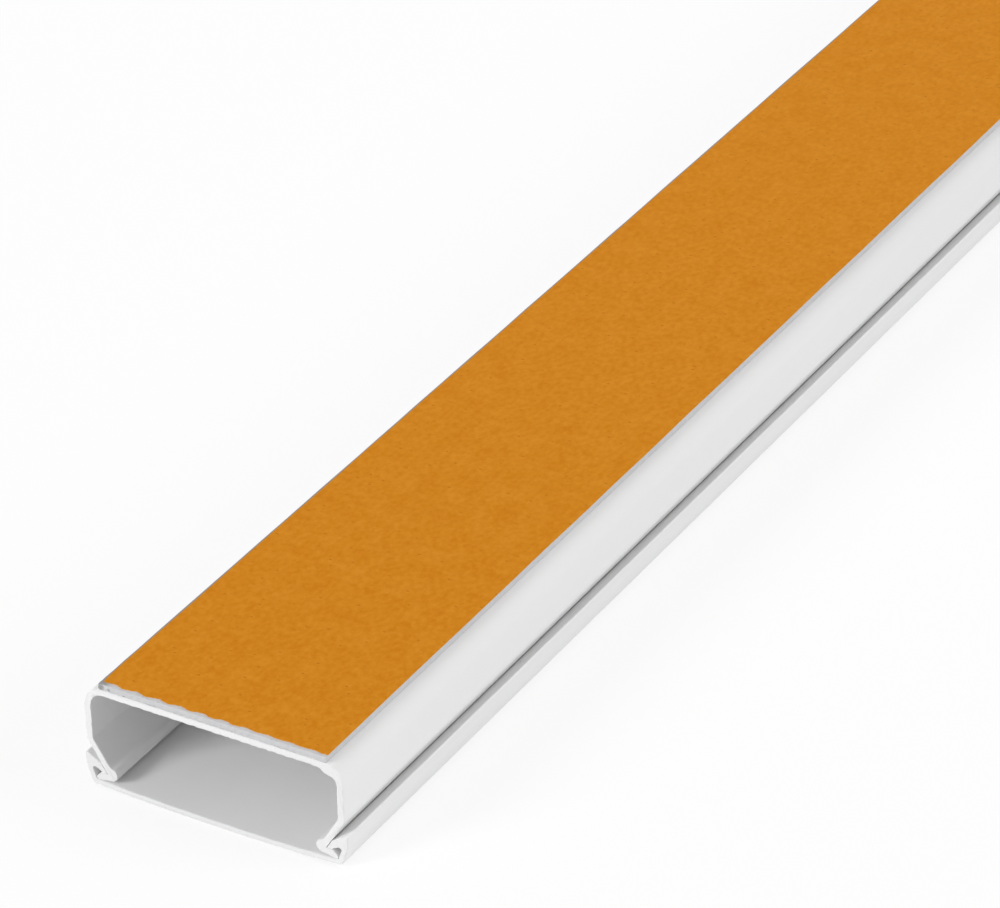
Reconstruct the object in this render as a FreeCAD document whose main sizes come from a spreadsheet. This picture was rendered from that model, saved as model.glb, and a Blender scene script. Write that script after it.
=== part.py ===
import FreeCAD, Part
import math
import os
from enum import IntEnum

import Sketcher

# A cord cover raceway: snap-lid trunking of white PVC with a foam tape on its back.
# It lies on its lid, +Z up, with its length along Y, and Z = 0 is the lowest line of the lid.
# All lengths are in millimetres and all angles in degrees.

SIZES = {
    # The whole part
    "length": 400.0,
    "overall_height": 15.7,
    # Channel: web, side walls and the legs that lean inwards below the knee
    "channel_width": 39.2,
    "web_thickness": 0.95,
    "side_thickness": 0.95,
    "outer_corner_radius": 3.0,
    "knee_height": 7.3,
    "knee_radius": 2.0,
    "leg_lean": 31.5,
    # Clip foot at the end of each leg: a round bead and a toe that points outwards
    "bead_radius": 0.98,
    "bead_rise": 0.97,
    "bead_blend_radius": 1.2,
    "toe_radius": 0.3,
    "toe_top_rise": 0.92,
    "lead_in_slope": 48.0,
    # Cover: plate that is level along its middle and crowned beside that, with bulging sides
    "cover_wall": 0.8,
    "level_width": 6.0,
    "crown_radius": 250.0,
    "side_step": 0.4,
    "side_radius": 9.0,
    "bulge_height": 4.8,
    "cover_corner_radius": 0.5,
    "cover_inner_radius": 0.3,
    # Barbed hook along each edge of the cover
    "hook_top_slope": 31.0,
    "hook_edge_radius": 0.2,
    "nose_length": 1.5,
    "nose_tip_radius": 0.12,
    "catch_width": 0.75,
    "nose_rise": 30.0,
    "hook_root_radius": 0.35,
    # Play between the snapped pieces
    "clip_clearance": 0.05,
    # Adhesive back: foam tape and its paper liner
    "tape_inset": 2.35,
    "foam_thickness": 0.9,
    "liner_thickness": 0.12,
    "liner_setback": 0.5,
}


class Ref(IntEnum):
    """How a sketch counts the points of a piece of geometry and its own axes."""

    START = 1
    END = 2
    CENTRE = 3
    HORIZONTAL_AXIS = -1
    VERTICAL_AXIS = -2


START, END, CENTRE = Ref.START, Ref.END, Ref.CENTRE
ORIGIN = (Ref.HORIZONTAL_AXIS, START)

doc = FreeCAD.newDocument("CordCoverRaceway")


def make_sheet():
    """Keep every driving dimension in one cell with its name as the alias."""
    sheet = doc.addObject("Spreadsheet::Sheet", "Sizes")
    for row, (name, value) in enumerate(SIZES.items(), start=1):
        cell = f"A{row}"
        sheet.set(cell, str(value))
        sheet.setAlias(cell, name)
    doc.recompute()


# First places for the ends of lines and arcs. The sketches' constraints hold them there.


def towards(start, end, distance):
    """Point at a distance from start in the direction of end."""
    share = distance / math.dist(start, end)
    return start[0] + (end[0] - start[0]) * share, start[1] + (end[1] - start[1]) * share


def turned(start, distance, degrees):
    """Point at a distance from start in the direction of an angle above the X axis."""
    angle = math.radians(degrees)
    return start[0] + distance * math.cos(angle), start[1] + distance * math.sin(angle)


def first_cover_centres():
    """Centres of the cover's crown and of its bulging side."""
    side_x = SIZES["channel_width"] / 2 + SIZES["side_step"] - SIZES["side_radius"]
    return (SIZES["level_width"] / 2, SIZES["crown_radius"]), (side_x, SIZES["bulge_height"])


def first_inset(depth):
    """Point at one depth below both outer faces of the cover, near its corner.

    It is where a circle round the crown's centre meets one round the side's centre.
    """
    crown, side = first_cover_centres()
    crown_reach = SIZES["crown_radius"] - depth
    side_reach = SIZES["side_radius"] - depth
    apart = math.dist(crown, side)
    along = (crown_reach**2 - side_reach**2 + apart**2) / (2 * apart)
    off = math.sqrt(crown_reach**2 - along**2)
    foot = towards(crown, side, along)
    return foot[0] - (side[1] - crown[1]) / apart * off, foot[1] + (side[0] - crown[0]) / apart * off


def first_toe_centre():
    return first_inset(SIZES["cover_wall"] + SIZES["clip_clearance"] + SIZES["toe_radius"])


def first_leg_place(up, depth=0.0):
    """Point at height up on the leg's outer face, or on a line at depth inside it."""
    lean = math.radians(SIZES["leg_lean"])
    fall = SIZES["knee_height"] - up
    return SIZES["channel_width"] / 2 - fall * math.tan(lean) - depth / math.cos(lean), up


def first_side_hit(start, degrees, radius):
    """Where a line that climbs from start meets a circle round the side's centre."""
    _, side = first_cover_centres()
    ahead = turned((0, 0), 1, degrees)
    offset = (start[0] - side[0], start[1] - side[1])
    half = offset[0] * ahead[0] + offset[1] * ahead[1]
    run = -half + math.sqrt(half**2 - offset[0] ** 2 - offset[1] ** 2 + radius**2)
    return turned(start, run, degrees)


# Sketch helpers


def add_line(sketch, start, end, construction=False):
    segment = Part.LineSegment(FreeCAD.Vector(*start, 0), FreeCAD.Vector(*end, 0))
    return sketch.addGeometry(segment, construction)


def add_arc(sketch, centre, start, end):
    """An arc round centre that runs anticlockwise from start to end."""
    circle = Part.Circle(FreeCAD.Vector(*centre, 0), FreeCAD.Vector(0, 0, 1), math.dist(centre, start))
    turns = [math.atan2(place[1] - centre[1], place[0] - centre[0]) for place in (start, end)]
    return sketch.addGeometry(Part.ArcOfCircle(circle, *turns), False)


def add_point(sketch, place):
    return sketch.addGeometry(Part.Point(FreeCAD.Vector(*place, 0)), True)


def relate(sketch, kind, *refs):
    sketch.addConstraint(Sketcher.Constraint(kind, *refs))


def join(sketch, kind, *joints):
    """Join ends of the outline, as corners (Coincident) or smoothly (Tangent)."""
    for joint in joints:
        relate(sketch, kind, *joint)


def dimension(sketch, name, expression, kind, *refs):
    """Add one named dimension that follows an expression on the sheet."""
    value = float(sketch.evalExpression(expression))
    if kind == "Angle":
        value = math.radians(value)
    index = sketch.addConstraint(Sketcher.Constraint(kind, *refs, value))
    sketch.renameConstraint(index, name)
    sketch.setExpression(f"Constraints.{name}", expression)


def find_plane(body, role):
    return next(item for item in body.Origin.OriginFeatures if item.Role == role)


def add_section_sketch(body, name):
    """A sketch across the length, its X along the width and its Y up."""
    sketch = body.newObject("Sketcher::SketchObject", name)
    sketch.AttachmentSupport = [(find_plane(body, "XZ_Plane"), "")]
    sketch.MapMode = "FlatFace"
    return sketch


def add_clip_points(sketch):
    """Centres that both clip halves are set out from, with the toe clear of the cover."""
    first_crown, first_side = first_cover_centres()
    crown = add_point(sketch, first_crown)
    side = add_point(sketch, first_side)
    toe = add_point(sketch, first_toe_centre())
    dimension(sketch, "crown_centre_across", "Sizes.level_width / 2", "DistanceX", *ORIGIN, crown, START)
    dimension(sketch, "crown_centre_up", "Sizes.crown_radius", "DistanceY", *ORIGIN, crown, START)
    dimension(sketch, "side_centre_across", "Sizes.channel_width / 2 + Sizes.side_step - Sizes.side_radius",
              "DistanceX", *ORIGIN, side, START)
    dimension(sketch, "side_centre_up", "Sizes.bulge_height", "DistanceY", *ORIGIN, side, START)
    reach = "(Sizes.cover_wall + Sizes.clip_clearance + Sizes.toe_radius)"
    dimension(sketch, "toe_off_plate", f"Sizes.crown_radius - {reach}", "Distance", crown, START, toe, START)
    dimension(sketch, "toe_off_side", f"Sizes.side_radius - {reach}", "Distance", side, START, toe, START)
    return crown, side, toe


# Solid helpers


def pad_and_mirror(body, sketch):
    """Extrude the half section to both sides of the middle, then mirror it."""
    pad = body.newObject("PartDesign::Pad", body.Name + "Half")
    pad.Profile = sketch
    pad.SideType = "Symmetric"
    pad.setExpression("Length", "Sizes.length")
    doc.recompute()
    mirror = body.newObject("PartDesign::Mirrored", body.Name + "Whole")
    mirror.Originals = [pad]
    mirror.MirrorPlane = (find_plane(body, "YZ_Plane"), [""])
    body.Tip = mirror
    doc.recompute()
    return mirror


def edges_through(shape, corner):
    """Names of the two long edges that pass through a corner of the section."""
    names = []
    for number, edge in enumerate(shape.Edges, start=1):
        ends = [vertex.Point for vertex in edge.Vertexes]
        runs_along = len(ends) == 2 and abs(ends[0].y - ends[1].y) > SIZES["length"] / 2
        if runs_along and math.dist((abs(ends[0].x), ends[0].z), (corner.x, corner.y)) < 1e-4:
            names.append(f"Edge{number}")
    if len(names) != 2:
        raise ValueError(f"no pair of edges at {corner}")
    return names


def round_corners(body, solid, sketch, corners):
    """Round each listed corner of the section, on both sides, with its own radius."""
    for name, geometry, place, radius in corners:
        fillet = body.newObject("PartDesign::Fillet", body.Name + name)
        fillet.Base = (solid, edges_through(solid.Shape, sketch.getPoint(geometry, place)))
        fillet.setExpression("Radius", radius)
        body.Tip = fillet
        doc.recompute()
        solid = fillet


def make_base_channel():
    """Web, side walls, leaning legs and clip feet, as one extrusion."""
    body = doc.addObject("PartDesign::Body", "BaseChannel")
    body.Label = "base_channel"
    sketch = add_section_sketch(body, "ChannelSection")
    _, _, toe_centre = add_clip_points(sketch)

    top = SIZES["overall_height"]
    half = SIZES["channel_width"] / 2
    wall = SIZES["side_thickness"]
    inner_corner = (half - wall, top - SIZES["web_thickness"])
    knee_gain = wall * math.tan(math.radians(SIZES["leg_lean"] / 2))
    inner_knee = (inner_corner[0], SIZES["knee_height"] + knee_gain)
    toe_at = first_toe_centre()
    notch = first_leg_place(toe_at[1] + SIZES["toe_top_rise"])
    toe_end = turned(toe_at, SIZES["toe_radius"], 90 - SIZES["lead_in_slope"])
    lead_in_run = (notch[1] - toe_end[1]) / math.sin(math.radians(SIZES["lead_in_slope"]))
    toe_top = turned(toe_end, lead_in_run, 180 - SIZES["lead_in_slope"])
    bead_at = first_leg_place(toe_at[1] + SIZES["bead_rise"], wall / 2)
    spread = math.degrees(math.asin(wall / 2 / SIZES["bead_radius"]))
    bead_top = turned(bead_at, SIZES["bead_radius"], 90 - SIZES["leg_lean"] + spread)
    sole_tilt = math.atan2(toe_at[1] - bead_at[1], toe_at[0] - bead_at[0])
    sole_taper = math.asin((SIZES["bead_radius"] - SIZES["toe_radius"]) / math.dist(toe_at, bead_at))
    sole_normal = math.degrees(sole_tilt + sole_taper) - 90
    toe_bottom = turned(toe_at, SIZES["toe_radius"], sole_normal)
    bead_bottom = turned(bead_at, SIZES["bead_radius"], sole_normal)

    web_face = add_line(sketch, (0, top), (half, top))
    wall_face = add_line(sketch, (half, top), (half, SIZES["knee_height"]))
    leg_face = add_line(sketch, (half, SIZES["knee_height"]), notch)
    toe_face = add_line(sketch, notch, toe_top)
    lead_in = add_line(sketch, toe_top, toe_end)
    toe = add_arc(sketch, toe_at, toe_bottom, toe_end)
    sole = add_line(sketch, toe_bottom, bead_bottom)
    bead = add_arc(sketch, bead_at, bead_top, bead_bottom)
    leg_inside = add_line(sketch, bead_top, inner_knee)
    wall_inside = add_line(sketch, inner_knee, inner_corner)
    web_inside = add_line(sketch, inner_corner, (0, inner_corner[1]))
    middle = add_line(sketch, (0, inner_corner[1]), (0, top))

    join(sketch, "Coincident", (web_face, END, wall_face, START), (wall_face, END, leg_face, START),
         (leg_face, END, toe_face, START), (toe_face, END, lead_in, START),
         (bead, START, leg_inside, START), (leg_inside, END, wall_inside, START),
         (wall_inside, END, web_inside, START), (web_inside, END, middle, START),
         (middle, END, web_face, START), (toe, CENTRE, toe_centre, START))
    join(sketch, "Tangent", (lead_in, END, toe, END), (toe, START, sole, START), (sole, END, bead, END))
    for level in (web_face, web_inside, toe_face):
        relate(sketch, "Horizontal", level)
    for upright in (wall_face, wall_inside, middle):
        relate(sketch, "Vertical", upright)
    relate(sketch, "PointOnObject", middle, START, Ref.VERTICAL_AXIS)
    relate(sketch, "Parallel", leg_face, leg_inside)

    dimension(sketch, "half_width", "Sizes.channel_width / 2", "DistanceX", *ORIGIN, web_face, END)
    dimension(sketch, "top_up", "Sizes.overall_height", "DistanceY", *ORIGIN, web_face, END)
    dimension(sketch, "knee_up", "Sizes.knee_height", "DistanceY", *ORIGIN, wall_face, END)
    dimension(sketch, "lean", "Sizes.leg_lean * 1 deg", "Angle", leg_face, START, wall_face, START)
    dimension(sketch, "wall", "Sizes.side_thickness", "DistanceX", wall_inside, END, wall_face, START)
    dimension(sketch, "leg_wall", "Sizes.side_thickness", "Distance", leg_inside, END, leg_face)
    dimension(sketch, "web", "Sizes.web_thickness", "DistanceY", wall_inside, END, web_face, END)
    dimension(sketch, "toe_round", "Sizes.toe_radius", "Radius", toe)
    dimension(sketch, "toe_top_up", "Sizes.toe_top_rise", "DistanceY", toe, CENTRE, toe_face, START)
    dimension(sketch, "lead_in_fall", "Sizes.lead_in_slope * 1 deg",
              "Angle", lead_in, START, Ref.HORIZONTAL_AXIS, START)
    dimension(sketch, "bead_round", "Sizes.bead_radius", "Radius", bead)
    dimension(sketch, "bead_in_leg", "Sizes.side_thickness / 2", "Distance", bead, CENTRE, leg_face)
    dimension(sketch, "bead_up", "Sizes.bead_rise", "DistanceY", toe, CENTRE, bead, CENTRE)

    round_corners(body, pad_and_mirror(body, sketch), sketch, [
        ("OuterCorner", web_face, END, "Sizes.outer_corner_radius"),
        ("InnerCorner", wall_inside, END, "Sizes.outer_corner_radius - Sizes.web_thickness"),
        ("OuterKnee", wall_face, END, "Sizes.knee_radius"),
        ("InnerKnee", leg_inside, END, "Sizes.knee_radius - Sizes.side_thickness"),
        ("BeadBlend", leg_inside, START, "Sizes.bead_blend_radius"),
    ])
    return body


def make_snap_cover():
    """Crowned plate whose sides turn up into barbed hooks, as one extrusion."""
    body = doc.addObject("PartDesign::Body", "SnapCover")
    body.Label = "snap_cover"
    sketch = add_section_sketch(body, "CoverSection")
    crown_centre, side_centre, toe_centre = add_clip_points(sketch)

    first_crown, first_side = first_cover_centres()
    level = SIZES["level_width"] / 2
    wall = SIZES["cover_wall"]
    play = SIZES["clip_clearance"]
    tip = first_leg_place(first_toe_centre()[1] + SIZES["toe_top_rise"] + play, -play)
    catch_end = (tip[0] + SIZES["catch_width"], tip[1])
    nose_top = turned(tip, SIZES["nose_length"], 90 - SIZES["leg_lean"])
    hook_edge = first_side_hit(nose_top, SIZES["hook_top_slope"], SIZES["side_radius"])
    wall_top = first_side_hit(catch_end, SIZES["nose_rise"], SIZES["side_radius"] - wall)
    bend = first_inset(SIZES["cover_corner_radius"])
    plate_end = towards(first_crown, bend, SIZES["crown_radius"])
    side_foot = towards(first_side, bend, SIZES["side_radius"])
    bend_inside = first_inset(wall + SIZES["cover_inner_radius"])
    plate_inner_end = towards(first_crown, bend_inside, SIZES["crown_radius"] - wall)
    side_inner_foot = towards(first_side, bend_inside, SIZES["side_radius"] - wall)
    leg_foot = first_leg_place(tip[1] - play)

    level_face = add_line(sketch, (0, 0), (level, 0))
    crown = add_arc(sketch, first_crown, (level, 0), plate_end)
    outer_bend = add_arc(sketch, bend, plate_end, side_foot)
    side = add_arc(sketch, first_side, side_foot, hook_edge)
    hook_top = add_line(sketch, hook_edge, nose_top)
    nose_face = add_line(sketch, nose_top, tip)
    catch = add_line(sketch, tip, catch_end)
    nose_under = add_line(sketch, catch_end, wall_top)
    side_inside = add_arc(sketch, first_side, side_inner_foot, wall_top)
    inner_bend = add_arc(sketch, bend_inside, plate_inner_end, side_inner_foot)
    crown_inside = add_arc(sketch, first_crown, (level, wall), plate_inner_end)
    level_inside = add_line(sketch, (level, wall), (0, wall))
    middle = add_line(sketch, (0, wall), (0, 0))
    leg_face = add_line(sketch, (SIZES["channel_width"] / 2, SIZES["knee_height"]), leg_foot, True)

    join(sketch, "Coincident", (side, END, hook_top, START), (hook_top, END, nose_face, START),
         (nose_face, END, catch, START), (catch, END, nose_under, START),
         (nose_under, END, side_inside, END), (level_inside, END, middle, START),
         (middle, END, level_face, START), (crown, CENTRE, crown_centre, START),
         (crown_inside, CENTRE, crown_centre, START), (side, CENTRE, side_centre, START),
         (side_inside, CENTRE, side_centre, START))
    join(sketch, "Tangent", (level_face, END, crown, START), (crown, END, outer_bend, START),
         (outer_bend, END, side, START), (crown_inside, END, inner_bend, START),
         (inner_bend, END, side_inside, START), (level_inside, START, crown_inside, START))
    relate(sketch, "PointOnObject", middle, START, Ref.VERTICAL_AXIS)
    relate(sketch, "PointOnObject", middle, END, Ref.VERTICAL_AXIS)
    for flat in (level_face, level_inside, catch):
        relate(sketch, "Horizontal", flat)
    relate(sketch, "Parallel", nose_face, leg_face)

    dimension(sketch, "crown_bend", "Sizes.crown_radius", "Radius", crown)
    dimension(sketch, "plate_wall", "Sizes.crown_radius - Sizes.cover_wall", "Radius", crown_inside)
    dimension(sketch, "side_bend", "Sizes.side_radius", "Radius", side)
    dimension(sketch, "side_wall", "Sizes.side_radius - Sizes.cover_wall", "Radius", side_inside)
    dimension(sketch, "outer_bend_round", "Sizes.cover_corner_radius", "Radius", outer_bend)
    dimension(sketch, "inner_bend_round", "Sizes.cover_inner_radius", "Radius", inner_bend)
    dimension(sketch, "leg_across", "Sizes.channel_width / 2", "DistanceX", *ORIGIN, leg_face, START)
    dimension(sketch, "leg_up", "Sizes.knee_height", "DistanceY", *ORIGIN, leg_face, START)
    dimension(sketch, "leg_foot_up", "Sizes.toe_top_rise", "DistanceY", toe_centre, START, leg_face, END)
    dimension(sketch, "leg_tilt", "Sizes.leg_lean * 1 deg", "Angle", leg_face, START, Ref.VERTICAL_AXIS, END)
    dimension(sketch, "nose_play", "Sizes.clip_clearance", "Distance", nose_face, END, leg_face)
    dimension(sketch, "catch_play", "Sizes.toe_top_rise + Sizes.clip_clearance",
              "DistanceY", toe_centre, START, nose_face, END)
    dimension(sketch, "nose_run", "Sizes.nose_length", "Distance", nose_face, START, nose_face, END)
    dimension(sketch, "catch_run", "Sizes.catch_width", "DistanceX", catch, START, catch, END)
    dimension(sketch, "top_slope", "Sizes.hook_top_slope * 1 deg",
              "Angle", Ref.HORIZONTAL_AXIS, START, hook_top, END)
    dimension(sketch, "under_slope", "Sizes.nose_rise * 1 deg",
              "Angle", Ref.HORIZONTAL_AXIS, START, nose_under, START)

    round_corners(body, pad_and_mirror(body, sketch), sketch, [
        ("NoseTip", nose_face, END, "Sizes.nose_tip_radius"),
        ("HookEdge", side, END, "Sizes.hook_edge_radius"),
        ("HookRoot", nose_under, END, "Sizes.hook_root_radius"),
    ])
    return body


def make_layer(label, length, thickness, underside):
    """A flat layer of the adhesive back, centred on the web."""
    layer = doc.addObject("Part::Box", label)
    layer.Label = label
    width = "Sizes.channel_width - 2 * Sizes.tape_inset"
    layer.setExpression("Length", width)
    layer.setExpression("Width", length)
    layer.setExpression("Height", thickness)
    layer.setExpression("Placement.Base.x", f"-({width}) / 2")
    layer.setExpression("Placement.Base.y", f"-({length}) / 2")
    layer.setExpression("Placement.Base.z", underside)
    return layer


def make_foam_tape():
    """Double-sided foam tape, cut through with the channel."""
    return make_layer("foam_tape", "Sizes.length", "Sizes.foam_thickness", "Sizes.overall_height")


def make_release_liner():
    """Paper liner on the tape, torn back a little from both cut ends."""
    return make_layer("release_liner", "Sizes.length - 2 * Sizes.liner_setback",
                      "Sizes.liner_thickness", "Sizes.overall_height + Sizes.foam_thickness")


def check_parts(parts):
    """Stop before anything is written if an object failed or a piece isn't one solid."""
    for item in doc.Objects:
        if "Invalid" in item.State or "Error" in item.State:
            raise RuntimeError(f"{item.Name} failed: {item.State}")
    for part in parts:
        if part.Shape.isNull() or not part.Shape.isValid() or len(part.Shape.Solids) != 1:
            raise RuntimeError(f"{part.Label} is not one valid solid")


def write_parts(parts):
    os.makedirs("parts", exist_ok=True)
    for part in parts:
        part.Shape.exportStep(f"parts/{part.Label}.step")
        print(part.Label, round(part.Shape.Volume, 1), part.Shape.BoundBox)


make_sheet()
raceway = [make_base_channel(), make_snap_cover(), make_foam_tape(), make_release_liner()]
doc.recompute()
check_parts(raceway)
write_parts(raceway)
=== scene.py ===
"""Looks of a snap-lid cord cover raceway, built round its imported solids.

The white PVC channel and lid, the foam tape and its paper liner are drawn as computed surfaces,
each where its solid is, with the saw-cut ends and the edges that the real ones have.
"""

import math

import bmesh
import bpy
import numpy as np
from bpy.props import (
    FloatProperty, FloatVectorProperty, IntProperty, PointerProperty, StringProperty)
from mathutils import Matrix, Vector


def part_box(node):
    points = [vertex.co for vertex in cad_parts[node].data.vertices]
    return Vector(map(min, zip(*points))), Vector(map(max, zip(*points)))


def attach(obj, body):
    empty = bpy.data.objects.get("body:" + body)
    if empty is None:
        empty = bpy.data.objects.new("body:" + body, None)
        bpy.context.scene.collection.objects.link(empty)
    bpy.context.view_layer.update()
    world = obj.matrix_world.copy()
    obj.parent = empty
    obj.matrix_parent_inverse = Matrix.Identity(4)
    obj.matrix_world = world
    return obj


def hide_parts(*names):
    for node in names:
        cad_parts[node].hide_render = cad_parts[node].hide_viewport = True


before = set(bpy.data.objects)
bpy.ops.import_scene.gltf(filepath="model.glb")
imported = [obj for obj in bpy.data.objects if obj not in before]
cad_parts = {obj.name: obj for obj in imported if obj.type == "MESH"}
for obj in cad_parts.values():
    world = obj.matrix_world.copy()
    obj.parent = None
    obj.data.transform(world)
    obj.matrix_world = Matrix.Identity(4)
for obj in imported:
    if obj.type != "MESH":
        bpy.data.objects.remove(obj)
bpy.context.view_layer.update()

bl_info = {
    "name": "Cord cover raceway",
    "version": (1, 0, 0),
    "blender": (4, 5, 0),
    "location": "3D View > Sidebar > Raceway",
    "description": "Draws a snap-lid cord cover raceway with its adhesive back",
    "category": "Add Mesh",
}

MM = 0.001
BOXES = {node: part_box(node) for node in ("base_channel", "snap_cover", "foam_tape", "release_liner")}

# The camera's own right and up, fitted to the photograph with its place and its lens
CAMERA_RIGHT = Vector((0.861387, 0.507502, -0.021306))
CAMERA_UP = Vector((-0.250717, 0.461275, 0.851097))

# Each lamp's direction from the part, and how wide it looks from there in degrees
FRONT_LAMP_FROM, FRONT_LAMP_SPREAD = (-0.43, -0.78, 0.46), 20
SIDE_LAMP_FROM, SIDE_LAMP_SPREAD = (0.85, 0.26, 0.45), 30

# The floor's half width in metres, and how far it lies under the lid's level strip, because two
# faces at one height flicker
FLOOR_HALF = 3.0
FLOOR_DROP = 0.02 * MM

# Where the sine along each torn end of the liner starts, in radians. The whole part of the number
# also picks that end's short waves
FRONT_TEAR, REAR_TEAR = 5.3, 2.0

# Darker patches on the tape's front cut, most near its left corner: the first, in that corner, is
# painted shade, the rest dark spots. X, Z, reach and strength of each, then how deep they all go
SHADE_AND_SPOTS = (
    (-16.9, 16.2, 0.55, 0.75), (-15.64, 16.02, 0.28, 0.7), (-13.35, 15.72, 0.2, 0.95),
    (-8.58, 15.95, 0.2, 0.35), (3.1, 15.74, 0.16, 0.4))
SHADE_AND_SPOT_DEPTH = 1.5


# Colours and small helpers


def linear(code):
    """A colour written as sRGB hex, turned into the linear values that a shader takes."""
    parts = [int(code.lstrip("#")[at:at + 2], 16) / 255 for at in (0, 2, 4)]
    return (*(c / 12.92 if c <= 0.04045 else ((c + 0.055) / 1.055) ** 2.4 for c in parts), 1.0)


WHITE = linear("#FFFFFF")


def low(node, axis):
    """Lowest coordinate of a solid along one axis, in millimetres."""
    return BOXES[node][0][axis] / MM


def high(node, axis):
    """Highest coordinate of a solid along one axis, in millimetres."""
    return BOXES[node][1][axis] / MM


def size(label, default, about):
    """A length in millimetres that a user may change."""
    return FloatProperty(name=label, description=about, default=default, min=0.0, precision=3)


def angle(label, default, about):
    """An angle in degrees that a user may change."""
    return FloatProperty(name=label, description=about, default=default, precision=2)


def tint(label, default, about):
    """A colour written as sRGB hex that a user may change."""
    return StringProperty(name=label, description=about, default=default)


# Settings that a user would change


class StageSettings(bpy.types.PropertyGroup):
    """Camera, lamps and floor."""

    camera_at: FloatVectorProperty(
        name="Camera", description="Where the camera stands", size=3, subtype="TRANSLATION",
        unit="LENGTH", default=(0.321196, -0.656830, 0.398425), precision=6)
    lens: FloatProperty(
        name="Lens", description="Focal length of the camera in millimetres", default=191.69,
        subtype="DISTANCE_CAMERA", unit="CAMERA")
    sky: FloatProperty(
        name="Sky", description="Brightness of the even light all round", default=0.47, min=0.0)
    front_lamp: FloatProperty(
        name="Front lamp", description="Brightness of the lamp that shines into the open end",
        default=1.9, min=0.0)
    side_lamp: FloatProperty(
        name="Side lamp", description="Brightness of the soft lamp on the right", default=1.19,
        min=0.0)
    floor_colour: tint("Floor", "#E4E4E4", "Colour of the pale floor as it lights the part")
    floor_seen: FloatProperty(
        name="Seen floor", description="Share of plain white in the floor where it is seen",
        default=0.82, min=0.0, max=1.0)


class SectionSettings(bpy.types.PropertyGroup):
    """Sizes of the channel's and the lid's section, in millimetres and degrees."""

    wall: size("Channel wall", 0.95, "Thickness of the web, the side walls and the legs")
    corner: size("Corner radius", 3.0, "Outer radius between the web and a side wall")
    knee_height: size("Knee height", 7.3, "Height of the bend from a side wall to its leg")
    knee: size("Knee radius", 2.0, "Outer radius of that bend")
    lean: angle("Leg lean", 31.5, "How far a leg leans inwards")
    bead: size("Bead radius", 0.98, "Radius of the round bead along a clip foot")
    bead_rise: size("Bead rise", 0.97, "Height of the bead's centre above the toe's")
    bead_blend: size("Bead blend", 1.2, "Radius of the hollow between the bead and its leg")
    toe: size("Toe radius", 0.3, "Radius of the toe's tip")
    toe_top: size("Toe top", 0.92, "Height of the toe's top above its centre")
    lead_in: angle("Lead-in slope", 48.0, "Slope of the toe's face that wedges into the lid")
    cover: size("Lid wall", 0.8, "Thickness of the lid")
    level: size("Level width", 6.0, "Width of the level strip along the lid's middle")
    crown: size("Crown radius", 250.0, "Radius of the lid's plate beside that strip")
    side: size("Side radius", 9.0, "Radius of the lid's bulging sides")
    side_step: size("Side step", 0.4, "How far the lid's sides stand outside the channel")
    bulge_height: size("Bulge height", 4.8, "Height at which the lid's sides are widest")
    bend: size("Lid corner", 0.5, "Outer radius between the lid's plate and its side")
    bend_inside: size("Lid inner corner", 0.3, "Inner radius between the lid's plate and its side")
    hook_slope: angle("Hook slope", 31.0, "Slope of the hook's upper face")
    hook_edge: size("Hook edge", 0.2, "Radius along the hook's upper outer edge")
    nose: size("Nose length", 1.5, "Length of the nose's face against the leg")
    nose_tip: size("Nose tip", 0.12, "Radius of the nose's tip")
    catch: size("Catch width", 0.75, "Width of the face that catches under the toe's top")
    nose_rise: angle("Nose rise", 30.0, "Slope of the nose's underside beyond the catch")
    hook_root: size("Hook root", 0.35, "Radius between that underside and the lid's side")
    play: size("Clip play", 0.05, "Clearance between the snapped pieces")


class ExtrusionSettings(bpy.types.PropertyGroup):
    """Finish of the two plastic extrusions."""

    colour: tint("Plastic", "#F1F1F1", "Colour of the white PVC")
    shade: tint("Flow marks", "#EBEBEB", "Darker colour of its faint flow marks")
    cut_colour: tint("Cut ends", "#EEEEEE", "Colour of the saw-cut ends")
    cut_shade: tint("Saw marks", "#E2E2E3", "Darker colour of the grain on the cut ends")
    edge: size("Cut edge", 0.05, "Width of the worn edge round a saw-cut end")
    edge_wave: size("Cut edge wave", 1.0, "Length of the irregular waves along that edge")
    burr: size("Burr", 0.67, "Height of the burr that the saw left in one inner corner")
    burr_place: angle("Burr place", 67.0, "Where on the corner's round it is, from the side wall")
    burr_reach: size("Burr reach", 1.05, "How far that burr runs to each side along the section")
    burr_depth: size("Burr depth", 0.4, "How far behind the cut it has shrunk to about a third")
    seed: IntProperty(name="Seed", description="Choice of the ragged cut edges", default=3)


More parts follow.
